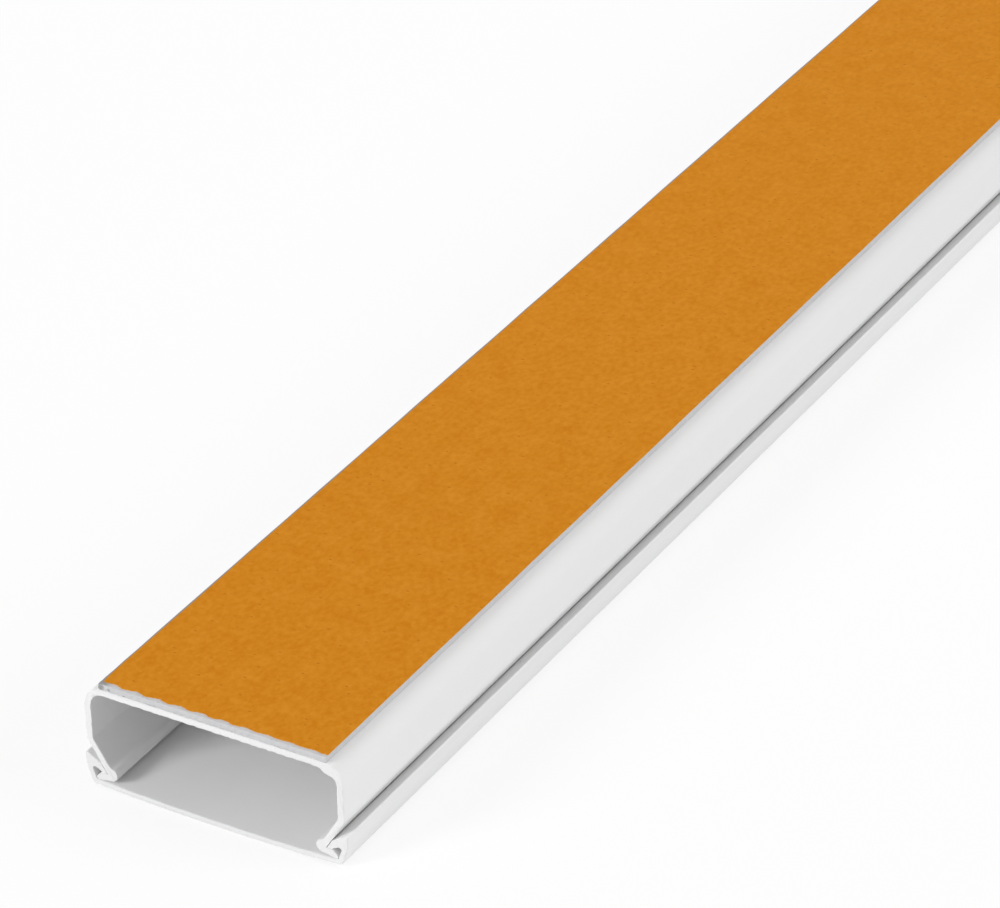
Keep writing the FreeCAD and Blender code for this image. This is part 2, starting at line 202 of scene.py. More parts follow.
class TapeSettings(bpy.types.PropertyGroup):
    """Foam tape and paper liner."""

    foam_colour: tint("Foam", "#D2D2D3", "Colour of the foam")
    foam_shade: tint("Foam cells", "#C3C3C5", "Darker colour of its clumped cells")
    crumbled_ends: size("Crumbled ends", 0.09, "How deep the foam's cut ends are crumbled")
    crumbled_sides: size("Crumbled sides", 0.05, "How deep the foam's slit sides are crumbled")
    soft_edge: size("Soft edge", 0.05, "How far the foam's edges are drawn in")
    # Darker grey of the bare strip along the top's left edge and of the patches on the front cut,
    # painted shade in the left corner
    marks_and_shade_colour: tint("Dirt", "#8C8C8B", "Colour of the dust that the bare adhesive holds")
    liner_colour: tint("Liner", "#D98D23", "Colour of the release liner")
    liner_shade: tint("Liner clouds", "#CE7D0B", "Deeper colour where its pulp lies thicker")
    liner_speck: tint("Liner specks", "#AF6209", "Colour of the small dark specks in it")
    liner_pale: tint("Liner edge", "#D69632", "Colour of its cut edge and of its pale flecks")
    setback: size("Setback", 0.6, "How far the liner stands back from the cut ends")
    wave: size("Wave", 0.17, "Height of the waves along the liner's torn ends")
    wave_length: size("Wave length", 3.4, "Length of one of those waves")
    short_wave: size("Short wave", 0.035, "Height of the short irregular waves between them")
    torn_corner: size("Torn corner", 0.3, "How much further the left corners are torn back")
    bare_edge: size("Bare edge", 0.37, "Width of the tape that the liner leaves bare at its left")
    bare_corner: size("Bare corner", 0.18, "How much wider that strip is at its front corner")
    drift: size("Drift", 0.04, "How far the liner's long sides stray from straight lines")
    seed: IntProperty(name="Seed", description="Choice of the irregular edges", default=7)


# Outlines: points (x, z) of a section in millimetres


def towards(start, end, distance):
    """Point at a distance from start in the direction of end."""
    start, end = np.array(start, float), np.array(end, float)
    return start + (end - start) * (distance / np.linalg.norm(end - start))


def turned(start, distance, degrees):
    """Point at a distance from start in the direction of an angle above the X axis."""
    heading = math.radians(degrees)
    return np.array(start, float) + distance * np.array([math.cos(heading), math.sin(heading)])


def swing(centre, start, end, clockwise):
    """Arc round centre from start to end: centre + radius × (cos, sin) of evenly spaced angles."""
    centre, start, end = (np.array(point, float) for point in (centre, start, end))
    first = math.atan2(*(start - centre)[::-1])
    last = math.atan2(*(end - centre)[::-1])
    if clockwise and last > first:
        last -= 2 * math.pi
    if not clockwise and last < first:
        last += 2 * math.pi
    steps = max(3, math.ceil(abs(last - first) / math.radians(5)))
    angles = np.linspace(first, last, steps + 1)
    radius = np.linalg.norm(start - centre)
    return centre + radius * np.stack([np.cos(angles), np.sin(angles)], axis=1)


def fillet(before, corner, after, radius):
    """Round a corner: sides cut back by radius × tan(half the turn) and joined by an arc."""
    corner = np.array(corner, float)
    back = towards((0, 0), np.array(before) - corner, 1)
    ahead = towards((0, 0), np.array(after) - corner, 1)
    half = math.acos(float(np.clip(back @ ahead, -1, 1))) / 2
    cut = radius / math.tan(half)
    centre = corner + towards((0, 0), back + ahead, radius / math.sin(half))
    clockwise = ahead[0] * back[1] - ahead[1] * back[0] > 0
    return swing(centre, corner + back * cut, corner + ahead * cut, not clockwise)


def cover_centres(s):
    """Centres of the lid's crown and of its bulging side."""
    half = high("base_channel", 0)
    return np.array([s.level / 2, s.crown]), np.array([half + s.side_step - s.side, s.bulge_height])


def inset_corner(s, depth):
    """Point at one depth below the lid's plate and side: where circles round both centres meet."""
    crown, side = cover_centres(s)
    apart = np.linalg.norm(side - crown)
    along = ((s.crown - depth) ** 2 - (s.side - depth) ** 2 + apart ** 2) / (2 * apart)
    off = math.sqrt((s.crown - depth) ** 2 - along ** 2)
    unit = (side - crown) / apart
    return crown + unit * along + off * np.array([-unit[1], unit[0]])


def leg_place(s, up, depth=0.0):
    """Point at a height on a leg's outer face, or on a line at a depth inside it."""
    lean = math.radians(s.lean)
    fall = s.knee_height - up
    return np.array([high("base_channel", 0) - fall * math.tan(lean) - depth / math.cos(lean), up])


def side_hit(s, start, degrees, radius):
    """Where a climbing line meets a circle round the side's centre."""
    offset = start - cover_centres(s)[1]
    ahead = turned((0, 0), 1, degrees)
    half = offset @ ahead
    return start + ahead * (-half + math.sqrt(half ** 2 - offset @ offset + radius ** 2))


def whole(half_outline, step=0.3):
    """A closed outline from its right half, mirrored, with a point at least at every step."""
    path = np.concatenate([np.atleast_2d(run) for run in half_outline])
    gaps = np.linalg.norm(np.diff(path, axis=0), axis=1)
    path = path[np.concatenate([[True], gaps > 0.01])]
    run = np.concatenate([[0], np.cumsum(np.linalg.norm(np.diff(path, axis=0), axis=1))])
    even = np.arange(0, run[-1], step)
    near = np.abs(even[:, None] - run[None, :]).min(axis=1) < 0.3 * step
    places = np.union1d(run, even[~near])
    right = np.stack([np.interp(places, run, path[:, axis]) for axis in (0, 1)], axis=1)
    left = right[::-1][1:-1] * (-1, 1)
    return np.concatenate([right, left])


def channel_outline(s):
    """Web, wall, leaning leg and clip foot, from the middle of the web outwards and back inside."""
    top, half, wall = high("base_channel", 2), high("base_channel", 0), s.wall
    toe = inset_corner(s, s.cover + s.play + s.toe)
    notch = leg_place(s, toe[1] + s.toe_top)
    toe_end = turned(toe, s.toe, 90 - s.lead_in)
    face = (notch[1] - toe_end[1]) / math.sin(math.radians(s.lead_in))
    toe_top = turned(toe_end, face, 180 - s.lead_in)
    bead = leg_place(s, toe[1] + s.bead_rise, wall / 2)
    tilt = math.atan2(toe[1] - bead[1], toe[0] - bead[0])
    taper = math.asin((s.bead - s.toe) / np.linalg.norm(toe - bead))
    sole = math.degrees(tilt + taper) - 90
    along = turned((0, 0), 1, 90 - s.lean)
    inwards = np.array([-along[1], along[0]])
    off = s.bead_blend + wall / 2
    blend = bead + inwards * off + along * math.sqrt((s.bead + s.bead_blend) ** 2 - off ** 2)
    knee = (half, s.knee_height)
    inner_knee = (half - wall, s.knee_height + wall * math.tan(math.radians(s.lean / 2)))
    inner_corner = (half - wall, top - wall)
    foot_inside = blend - inwards * s.bead_blend
    return whole([
        (0, top),
        fillet((0, top), (half, top), knee, s.corner),
        fillet((half, top), knee, notch, s.knee),
        notch, toe_top,
        swing(toe, toe_end, turned(toe, s.toe, sole), True),
        swing(bead, turned(bead, s.bead, sole), towards(bead, blend, s.bead), True),
        swing(blend, towards(bead, blend, s.bead), foot_inside, False),
        fillet(foot_inside, inner_knee, inner_corner, s.knee - wall),
        fillet(inner_knee, inner_corner, (0, top - wall), s.corner - wall),
        (0, top - wall),
    ])


def cover_outline(s):
    """Crowned plate, bulging side and barbed hook, from the middle outwards and back inside."""
    crown, side = cover_centres(s)
    level, wall = s.level / 2, s.cover
    under, inner = s.crown - wall, s.side - wall
    toe = inset_corner(s, wall + s.play + s.toe)
    tip = leg_place(s, toe[1] + s.toe_top + s.play, -s.play)
    catch_end = tip + (s.catch, 0)
    nose_top = turned(tip, s.nose, 90 - s.lean)
    above = turned(nose_top, s.hook_edge, s.hook_slope - 90)
    edge = side_hit(s, above, s.hook_slope, s.side - s.hook_edge)
    below = turned(catch_end, s.hook_root, s.nose_rise - 90)
    root = side_hit(s, below, s.nose_rise, inner - s.hook_root)
    edge_end = turned(edge, s.hook_edge, s.hook_slope + 90)
    root_end = turned(root, s.hook_root, s.nose_rise + 90)
    bend = inset_corner(s, s.bend)
    inside = inset_corner(s, wall + s.bend_inside)
    return whole([
        (0, 0),
        swing(crown, (level, 0), towards(crown, bend, s.crown), False),
        swing(bend, towards(crown, bend, s.crown), towards(side, bend, s.side), False),
        swing(side, towards(side, bend, s.side), towards(side, edge, s.side), False),
        swing(edge, towards(side, edge, s.side), edge_end, False),
        nose_top,
        fillet(nose_top, tip, catch_end, s.nose_tip),
        catch_end,
        swing(root, root_end, towards(side, root, inner), True),
        swing(side, towards(side, root, inner), towards(side, inside, inner), True),
        swing(inside, towards(side, inside, inner), towards(crown, inside, under), True),
        swing(crown, towards(crown, inside, under), (level, wall), True),
        (0, wall),
    ])


# Surfaces, as whole arrays of points in millimetres


def plane_waves(points, length, seed, count=9):
    """Smooth irregular values near ±1, from a seed.

    A sum of sine waves in random directions, each 0.6 to 1.7 times the length, over the square
    root of their count.
    """
    pick = np.random.default_rng(seed)
    headings = pick.normal(size=(count, points.shape[-1]))
    headings /= np.linalg.norm(headings, axis=1, keepdims=True)
    numbers = 2 * math.pi / (length * pick.uniform(0.6, 1.7, size=count))
    phases = pick.uniform(0, 2 * math.pi, size=count)
    return np.sin((points @ headings.T) * numbers + phases).sum(axis=-1) / math.sqrt(count)


def graded(first, last, fine, growth=1.35, coarse=12.0):
    """Places along a length that are close together at both ends and grow apart to its middle."""
    steps = np.minimum(fine * growth ** np.arange(200), coarse)
    reach = np.concatenate([[0], np.cumsum(steps)])
    reach = reach[reach < (last - first) / 2 - fine]
    return np.concatenate([first + reach, (last - reach)[::-1]])


def outward_normals(outline):
    """Unit normals of a closed outline: the run from last point to next, turned by a quarter."""
    run = np.roll(outline, -1, axis=0) - np.roll(outline, 1, axis=0)
    normals = np.stack([run[:, 1], -run[:, 0]], axis=1)
    normals /= np.linalg.norm(normals, axis=1, keepdims=True)
    x, z = outline.T
    area = np.sum(x * np.roll(z, -1) - z * np.roll(x, -1))
    return normals * (1 if area > 0 else -1)


def ring_faces(rings, points):
    """Four-sided faces between neighbouring rings of a tube of rings × points, closed round."""
    at = np.arange(rings * points).reshape(rings, points)
    on = np.roll(at, -1, axis=1)
    return np.stack([at[:-1], on[:-1], on[1:], at[1:]], axis=-1).reshape(-1, 4)


def finish_mesh(name, points, faces, materials, indices, sharp):
    """A closed object of points in millimetres, faces outwards, edges over sharp degrees hard."""
    mesh = bpy.data.meshes.new(name)
    mesh.from_pydata((points * MM).tolist(), [], faces)
    for material in materials:
        mesh.materials.append(material)
    mesh.polygons.foreach_set("material_index", indices)
    shell = bmesh.new()
    shell.from_mesh(mesh)
    bmesh.ops.remove_doubles(shell, verts=shell.verts, dist=1e-7)
    bmesh.ops.recalc_face_normals(shell, faces=shell.faces)
    open_edges = [edge for edge in shell.edges if not edge.is_manifold]
    shell.to_mesh(mesh)
    shell.free()
    if open_edges:
        raise RuntimeError(f"{name} has {len(open_edges)} open edges")
    mesh.shade_smooth()
    mesh.set_sharp_from_angle(angle=math.radians(sharp))
    piece = bpy.data.objects.new(name, mesh)
    bpy.context.scene.collection.objects.link(piece)
    return piece


def extrusion(name, node, outline, finish, shift=None):
    """The outline carried along Y, with a ragged worn edge and a flat saw-cut face at both ends.

    Point (station, place) = outline point at that place, at that station's Y. The outermost ring
    at each end is drawn in along the outline's normals by the width of the worn edge × (1 + 1.3 ×
    irregular waves), kept from 0.1 to 2.5, and the ring next to it by a third of that.
    """
    start, end = low(node, 1), high(node, 1)
    inner = graded(start + finish.edge, end - finish.edge, fine=0.12)
    stations = np.concatenate([[start], inner, [end]])
    inset = np.zeros((len(stations), len(outline)))
    for outermost, next_in, choice in ((0, 1, 1), (-1, -2, -1)):
        waves = plane_waves(outline, finish.edge_wave, finish.seed + choice)
        inset[outermost] = finish.edge * np.clip(1 + 1.3 * waves, 0.1, 2.5)
        inset[next_in] = 0.33 * inset[outermost]
    points = np.empty((len(stations), len(outline), 3))
    points[..., (0, 2)] = outline[None] - outward_normals(outline)[None] * inset[..., None]
    points[..., 1] = stations[:, None]
    if shift is not None:
        points = points + shift(points)
    count = len(outline)
    quads = ring_faces(len(stations), count)
    rear = (len(stations) - 1) * count
    caps = [list(range(count))[::-1], list(range(rear, rear + count))]
    # The saw-cut finish is on both caps and on the worn edge beside each
    indices = np.zeros(len(quads) + len(caps), int)
    indices[:count] = indices[len(quads) - count:] = 1
    materials = [extruded_pvc(finish), saw_cut_pvc(finish)]
    faces = quads.tolist() + caps
    return finish_mesh(name, points.reshape(-1, 3), faces, materials, indices, sharp=35)


def corner_burr(s, finish):
    """Saw burr in the right inner corner at the front end.

    Each point there moves towards the centre of the corner's round by the burr's height × a bell of
    its distance from the middle of the burr × a fall-off along Y, so it is a thin flake at the cut.
    """
    front = low("base_channel", 1)
    centre = np.array([high("base_channel", 0), high("base_channel", 2)]) - s.corner
    middle = turned(centre, s.corner - s.wall, finish.burr_place)

    def shift(points):
        place = points[..., (0, 2)]
        inside = np.linalg.norm(place - centre, axis=-1) < s.corner - s.wall / 2
        bell = np.exp(-(np.linalg.norm(place - middle, axis=-1) / finish.burr_reach) ** 2)
        fade = np.exp(-(points[..., 1] - front) / finish.burr_depth)
        inward = centre - place
        inward /= np.maximum(np.linalg.norm(inward, axis=-1, keepdims=True), 0.1)
        moved = np.zeros_like(points)
        moved[..., (0, 2)] = inward * (finish.burr * inside * bell * fade)[..., None]
        return moved

    return shift


def block_surface(xs, ys, zs):
    """Six grids over a block's faces, from the places along its three axes."""
    sides = []
    for axis, (first, second, across) in enumerate(((ys, zs, xs), (xs, zs, ys), (xs, ys, zs))):
        one, two = np.meshgrid(first, second, indexing="ij")
        for level in (across[0], across[-1]):
            flat = [one, two]
            flat.insert(axis, np.full_like(one, level))
            sides.append(np.stack(flat, axis=-1))
    return sides


def grid_faces(shape, first):
    """Four-sided faces of a grid of points whose numbers start at first."""
    at = first + np.arange(shape[0] * shape[1]).reshape(shape)
    corners = [at[:-1, :-1], at[1:, :-1], at[1:, 1:], at[:-1, 1:]]
    return np.stack(corners, axis=-1).reshape(-1, 4)


def block(name, grids, material):
    """One closed piece from six grids whose edges coincide."""
    starts = np.cumsum([0] + [grid.shape[0] * grid.shape[1] for grid in grids])
    faces = np.concatenate([grid_faces(grid.shape[:2], at) for grid, at in zip(grids, starts)])
    points = np.concatenate([grid.reshape(-1, 3) for grid in grids])
    indices = np.zeros(len(faces), int)
    return finish_mesh(name, points, faces.tolist(), [material], indices, sharp=50)


def foam_grids(tape):
    """The foam's block with its edges softened and its cut faces crumbled.

    A point on a cut end moves in along Y, and one on a slit side along X, by the crumbled depth ×
    irregular waves between 0 and 1, + the soft edge × the sixth power of its height above or below
    the middle, which is 1 at the faces.
    """
    node = "foam_tape"
    xs = np.linspace(low(node, 0), high(node, 0), 241)
    ys = graded(low(node, 1), high(node, 1), fine=0.12, growth=1.5, coarse=5.0)
    zs = np.linspace(low(node, 2), high(node, 2), 8)
    middle = np.array([(high(node, axis) + low(node, axis)) / 2 for axis in range(3)])
    reach = np.array([(high(node, axis) - low(node, axis)) / 2 for axis in range(3)])
    moved = []
    for grid in block_surface(xs, ys, zs):
        off = (grid - middle) / reach
        waves = plane_waves(grid, 0.7, tape.seed) + plane_waves(grid, 2.6, tape.seed + 1)
        crumble = 0.5 + 0.5 * np.clip(waves, -1, 1)
        shoulder = tape.soft_edge * np.abs(off[..., 2]) ** 6
        for axis, depth in ((0, tape.crumbled_sides), (1, tape.crumbled_ends)):
            on_face = np.abs(off[..., axis]) > 0.99999
            inward = -np.sign(off[..., axis]) * on_face
            grid[..., axis] += inward * (depth * crumble + shoulder)
        moved.append(grid)
    return moved


def torn_edge(across, tape, phase):
    """How far a torn end of the liner stands back from the tape's end, at each place across.

    Setback + wave × sine of one wave length + short irregular waves + the left corner, which is
    torn back further over about 3 mm. To the right of X = 5 mm the sine keeps 0.4 of its height.
    """
    calm = 1 - 0.6 / (1 + np.exp(5.0 - across))
    sine = np.sin(2 * math.pi * across / tape.wave_length + phase)
    short = plane_waves(across[..., None], 1.1, tape.seed + int(phase))
    corner = np.exp(low("foam_tape", 0) - across)
    waves = tape.wave * calm * sine + tape.short_wave * short
    return tape.setback + waves + tape.torn_corner * corner


def liner_grids(tape):
    """The liner's sheet between its two torn ends, with nearly straight sides.

    A point's Y lies between the torn ends in the same share as on a straight sheet. Its left edge
    stands in from the tape's by the bare strip, which widens over the last 1.5 mm to the front
    corner, and both sides drift in waves of about 21 mm.
    """
    node = "release_liner"
    left, right = low(node, 0), high(node, 0)
    front, rear = low("foam_tape", 1), high("foam_tape", 1)
    xs = np.linspace(left, right, 341)
    ys = graded(front, rear, fine=0.15, growth=1.5, coarse=5.0)
    moved = []
    for grid in block_surface(xs, ys, np.array([low(node, 2), high(node, 2)])):
        share = (grid[..., 1] - front) / (rear - front)
        near = torn_edge(grid[..., 0], tape, FRONT_TEAR)
        far = torn_edge(grid[..., 0], tape, REAR_TEAR)
        grid[..., 1] += (1 - share) * near - share * far
        behind = grid[..., 1] - front - tape.setback
        drift = tape.drift * plane_waves(grid[..., 1:2], 21.0, tape.seed + 9)
        bare = tape.bare_edge + drift + tape.bare_corner * np.exp(-behind / 1.5)
        across = (right - grid[..., 0]) / (right - left)
        grid[..., 0] += across * bare - (1 - across) * (tape.drift + drift)
        moved.append(grid)
    return moved


# Materials


def add_node(tree, kind, inputs=None, **settings):
    """Add one node, with its settings, and set or link each of its inputs."""
    node = tree.nodes.new(kind)
    for name, value in settings.items():
        setattr(node, name, value)
    for socket, value in (inputs or {}).items():
        if isinstance(value, bpy.types.NodeSocket):
            tree.links.new(value, node.inputs[socket])
        else:
            node.inputs[socket].default_value = value
    return node


def new_material(name):
    """A material whose node tree is empty but for its output, with that tree and output."""
    material = bpy.data.materials.new(name)
    material.use_nodes = True
    tree = material.node_tree
    tree.nodes.clear()
    return material, tree, add_node(tree, "ShaderNodeOutputMaterial")


def place_in_mm(tree):
    """The place of each point in millimetres."""
    metres = add_node(tree, "ShaderNodeTexCoord").outputs["Object"]
    place = add_node(
        tree, "ShaderNodeVectorMath", {0: metres, "Scale": 1 / MM}, operation="SCALE")
    return place.outputs["Vector"]


def stretched(tree, place, scale):
    """The place scaled by its own number per millimetre along each axis."""
    return add_node(tree, "ShaderNodeMapping", {"Vector": place, "Scale": scale}).outputs["Vector"]


def ramp(tree, value, start, end, first, last):
    """A number that goes from first to last while value goes from start to end."""
    return add_node(tree, "ShaderNodeMapRange", {
        "Value": value, "From Min": start, "From Max": end,
        "To Min": first, "To Max": last}).outputs["Result"]


def worked_out(tree, operation, *values):
    """The result of one sum on numbers, named as the Math node names it."""
    return add_node(
        tree, "ShaderNodeMath", dict(enumerate(values)), operation=operation).outputs["Value"]


def mixed(tree, share, first, second):
    """First colour where the share is 0, second where it is 1."""
    return add_node(
        tree, "ShaderNodeMix", {0: share, 6: first, 7: second}, data_type="RGBA").outputs[2]


def seen_directly(tree):
    """1 for rays from the camera, and for those it sends on by gloss or through glass."""
    rays = add_node(tree, "ShaderNodeLightPath").outputs
    seen = worked_out(tree, "MAXIMUM", rays["Is Camera Ray"], rays["Is Glossy Ray"])
    return worked_out(tree, "MAXIMUM", seen, rays["Is Transmission Ray"])


def extruded_pvc(finish):
    """White rigid PVC, extruded through a polished die: satin, with faint drag lines along Y."""
    material, tree, output = new_material("extruded_rigid_pvc")
    place = place_in_mm(tree)
    # Drag lines about 0.6 mm apart across, some 150 mm long
    drag = add_node(tree, "ShaderNodeTexNoise", {
        "Vector": stretched(tree, place, (1.6, 0.007, 1.6)), "Scale": 1.0, "Detail": 3.0,
        "Roughness": 0.6})
    # Flow marks of 12 mm across, where the melt cooled a little slower
    flow = add_node(tree, "ShaderNodeTexNoise", {
        "Vector": stretched(tree, place, (0.085, 0.009, 0.085)), "Scale": 1.0, "Detail": 2.0})
    # Orange peel of 0.9 mm that the die leaves as the plastic cools
    peel = add_node(tree, "ShaderNodeTexNoise", {
        "Vector": stretched(tree, place, (1.1, 0.7, 1.1)), "Scale": 1.0, "Detail": 2.0})
    lines = add_node(tree, "ShaderNodeBump", {
        "Height": drag.outputs["Fac"], "Strength": 0.35, "Distance": 0.000012})
    skin = add_node(tree, "ShaderNodeBump", {
        "Height": peel.outputs["Fac"], "Strength": 0.3, "Distance": 0.00002,
        "Normal": lines.outputs["Normal"]})
    shader = add_node(tree, "ShaderNodeBsdfPrincipled", {
        "Base Color": mixed(
            tree, flow.outputs["Fac"], linear(finish.shade), linear(finish.colour)),
        "Roughness": ramp(tree, drag.outputs["Fac"], 0.3, 0.7, 0.33, 0.43), "IOR": 1.53,
        "Normal": skin.outputs["Normal"]})
    tree.links.new(shader.outputs["BSDF"], output.inputs["Surface"])
    return material


def saw_cut_pvc(finish):
    """White rigid PVC cut by a fine circular saw: dull, with slightly curved scratches."""
    material, tree, output = new_material("saw_cut_rigid_pvc")
    place = place_in_mm(tree)
    # Tooth marks 0.7 mm apart, on circles of a blade that came down from above
    blade = add_node(tree, "ShaderNodeMapping", {"Vector": place, "Location": (50, 0, -70)})
    marks = add_node(tree, "ShaderNodeTexWave", {
        "Vector": blade.outputs["Vector"], "Scale": 0.45, "Distortion": 2.5, "Detail": 2.0,
        "Detail Scale": 1.5}, wave_type="RINGS", rings_direction="Y")
    # Torn grain of 0.4 mm
    grain = add_node(tree, "ShaderNodeTexNoise", {"Vector": place, "Scale": 2.6, "Detail": 4.0})
    teeth = add_node(tree, "ShaderNodeBump", {
        "Height": marks.outputs["Fac"], "Strength": 0.35, "Distance": 0.00002})
    fuzz = add_node(tree, "ShaderNodeBump", {
        "Height": grain.outputs["Fac"], "Strength": 0.6, "Distance": 0.00003,
        "Normal": teeth.outputs["Normal"]})
    shader = add_node(tree, "ShaderNodeBsdfPrincipled", {
        "Base Color": mixed(
            tree, grain.outputs["Fac"], linear(finish.cut_shade), linear(finish.cut_colour)),
        "Roughness": 0.62, "IOR": 1.53, "Normal": fuzz.outputs["Normal"]})
    tree.links.new(shader.outputs["BSDF"], output.inputs["Surface"])
    return material


def cut_foam(tape):
    """Closed-cell polyethylene foam, slit by a knife: matt, with small open cells on its cuts."""
    material, tree, output = new_material("slit_polyethylene_foam")
    place = place_in_mm(tree)
    # Cells of 0.2 mm, twice the real ones, which would not show, in clumps of 1.1 mm
    cells = add_node(tree, "ShaderNodeTexVoronoi", {
        "Vector": place, "Scale": 5.0, "Randomness": 1.0})
    clumps = add_node(tree, "ShaderNodeTexNoise", {"Vector": place, "Scale": 0.9, "Detail": 3.0})
    # Darker grey on the bare adhesive of the top face: full to 0.9 mm from the left edge, none at 1.9
    # mm
    parts = add_node(tree, "ShaderNodeSeparateXYZ", {"Vector": place}).outputs
    left, front, top = low("foam_tape", 0), low("foam_tape", 1), high("foam_tape", 2)
    marks_and_shade = worked_out(
        tree, "MULTIPLY", ramp(tree, parts["X"], left + 0.9, left + 1.9, 0.85, 0.0),
        ramp(tree, parts["Z"], top - 0.05, top - 0.02, 0.0, 1.0))
    for x, z, reach, strength in SHADE_AND_SPOTS:
        # Distance from the patch's middle over its reach, broken up by the clumps. The patch in the
        # left corner is painted shade
        scale = (1 / reach, 1 / SHADE_AND_SPOT_DEPTH, 1 / reach)
        middle = (-x * scale[0], -front * scale[1], -z * scale[2])
        offset = add_node(tree, "ShaderNodeMapping", {
            "Vector": place, "Location": middle, "Scale": scale})
        off = add_node(tree, "ShaderNodeVectorMath", {
            0: offset.outputs["Vector"]}, operation="LENGTH")
        broken = worked_out(tree, "ADD", off.outputs["Value"], clumps.outputs["Fac"])
        marks_and_shade = worked_out(tree, "MAXIMUM", marks_and_shade, ramp(tree, broken, 1.0, 1.7, strength, 0.0))
    foam = mixed(tree, clumps.outputs["Fac"], linear(tape.foam_shade), linear(tape.foam_colour))
    pits = add_node(tree, "ShaderNodeBump", {
        "Height": ramp(tree, cells.outputs["Distance"], 0.0, 0.6, 0.0, 1.0), "Strength": 0.5,
        "Distance": 0.00005})
    # The foam turns to that darker grey on the strip and the patches, painted shade in the left corner
    shader = add_node(tree, "ShaderNodeBsdfPrincipled", {
        "Base Color": mixed(tree, marks_and_shade, foam, linear(tape.marks_and_shade_colour)), "Roughness": 0.8,
        "IOR": 1.5, "Specular IOR Level": 0.3, "Normal": pits.outputs["Normal"]})
    tree.links.new(shader.outputs["BSDF"], output.inputs["Surface"])
    return material


def amber_liner(tape):
    """Glassine release paper, dyed amber, calendered and siliconed: smooth, softly mottled."""
    material, tree, output = new_material("amber_glassine_liner")
    place = place_in_mm(tree)
    # Clouds of 3 mm where the pulp lies thicker, and felt marks from 0.8 mm down to 0.1 mm
    grain = stretched(tree, place, (1.0, 0.75, 1.0))
    cloud = add_node(tree, "ShaderNodeTexNoise", {
        "Vector": grain, "Scale": 0.3, "Detail": 4.0, "Roughness": 0.6}).outputs["Fac"]
    felt = add_node(tree, "ShaderNodeTexNoise", {
        "Vector": grain, "Scale": 1.2, "Detail": 4.0, "Roughness": 0.55}).outputs["Fac"]
    tone = worked_out(tree, "MULTIPLY_ADD", cloud, 0.7, felt)
    colour = mixed(
        tree, ramp(tree, tone, 0.6, 1.1, 0.0, 1.0), linear(tape.liner_shade),
        linear(tape.liner_colour))
    # Shives: strokes 0.5 mm long in some of the clouds, one dark one in every 6 × 3 mm and one
    # pale one in every 16 × 8 mm
    for apart, fleck in ((3.0, tape.liner_speck), (8.0, tape.liner_pale)):
        near = add_node(tree, "ShaderNodeTexVoronoi", {
            "Vector": stretched(tree, place, (0.5 / apart, 1 / apart, 1)), "Scale": 1.0},
            voronoi_dimensions="2D").outputs["Distance"]
        stroke = worked_out(
            tree, "MULTIPLY", ramp(tree, near, 0.04 / apart, 0.16 / apart, 0.8, 0.0),
            ramp(tree, cloud, 0.35, 0.55, 0.0, 1.0))
        colour = mixed(tree, stroke, colour, linear(fleck))
    # Its cut sides are pale, because the dye stops at the surface
    normal = add_node(tree, "ShaderNodeNewGeometry").outputs["Normal"]
    parts = add_node(tree, "ShaderNodeSeparateXYZ", {"Vector": normal}).outputs
    cut = ramp(tree, worked_out(tree, "ABSOLUTE", parts["Z"]), 0.3, 0.7, 0.8, 0.0)
    colour = mixed(tree, cut, colour, linear(tape.liner_pale))
    bump = add_node(tree, "ShaderNodeBump", {
        "Height": tone, "Strength": 0.2, "Distance": 0.00003})
    shader = add_node(tree, "ShaderNodeBsdfPrincipled", {
        "Base Color": colour, "Roughness": ramp(tree, felt, 0.3, 0.7, 0.46, 0.58), "IOR": 1.45,
        "Specular IOR Level": 0.06, "Normal": bump.outputs["Normal"]})
    tree.links.new(shader.outputs["BSDF"], output.inputs["Surface"])
    return material


def pale_floor(settings):
    """Matt paper sweep: pale grey as it lights the part, nearly white with the shadow as seen."""
    material, tree, output = new_material("pale_paper_sweep")
    seen = seen_directly(tree)
    paper = add_node(tree, "ShaderNodeBsdfPrincipled", {
        "Base Color": mixed(tree, seen, linear(settings.floor_colour), WHITE), "Roughness": 1.0,
        "Specular IOR Level": 0.0})
    white = add_node(tree, "ShaderNodeEmission", {"Color": WHITE, "Strength": 1.0})
    mix = add_node(tree, "ShaderNodeMixShader", {
        0: worked_out(tree, "MULTIPLY", seen, settings.floor_seen), 1: paper.outputs["BSDF"],
        2: white.outputs["Emission"]})
    tree.links.new(mix.outputs["Shader"], output.inputs["Surface"])
    return material


# Stage


def add_camera(scene, settings):
    """The camera at the photograph's angle."""
    camera = bpy.data.objects.new("camera", bpy.data.cameras.new("camera"))
    camera.data.lens = settings.lens
    camera.data.clip_start, camera.data.clip_end = 0.01, 20.0
    axes = (CAMERA_RIGHT, CAMERA_UP, CAMERA_RIGHT.cross(CAMERA_UP))
    turn = Matrix(axes).transposed()
    camera.matrix_world = Matrix.Translation(settings.camera_at) @ turn.to_4x4()
    scene.collection.objects.link(camera)
    scene.camera = camera


def add_lamp(scene, name, energy, direction, spread):
    """A soft lamp far away in a direction from the part."""
    lamp = bpy.data.objects.new(name, bpy.data.lights.new(name, "SUN"))
    lamp.data.energy = energy
    lamp.data.angle = math.radians(spread)
    lamp.rotation_mode = "QUATERNION"
    lamp.rotation_quaternion = Vector(direction).to_track_quat("Z", "Y")
    scene.collection.objects.link(lamp)


def add_even_light(scene, settings):
    """Even white light all round, which is seen as plain white."""
    world = bpy.data.worlds.new("even_light")
    world.use_nodes = True
    tree = world.node_tree
    tree.nodes.clear()
    sky = add_node(tree, "ShaderNodeBackground", {"Color": WHITE, "Strength": settings.sky})
    white = add_node(tree, "ShaderNodeBackground", {"Color": WHITE, "Strength": 1.0})
    mix = add_node(tree, "ShaderNodeMixShader", {
        0: seen_directly(tree), 1: sky.outputs["Background"], 2: white.outputs["Background"]})
    output = add_node(tree, "ShaderNodeOutputWorld")
    tree.links.new(mix.outputs["Shader"], output.inputs["Surface"])
    scene.world = world


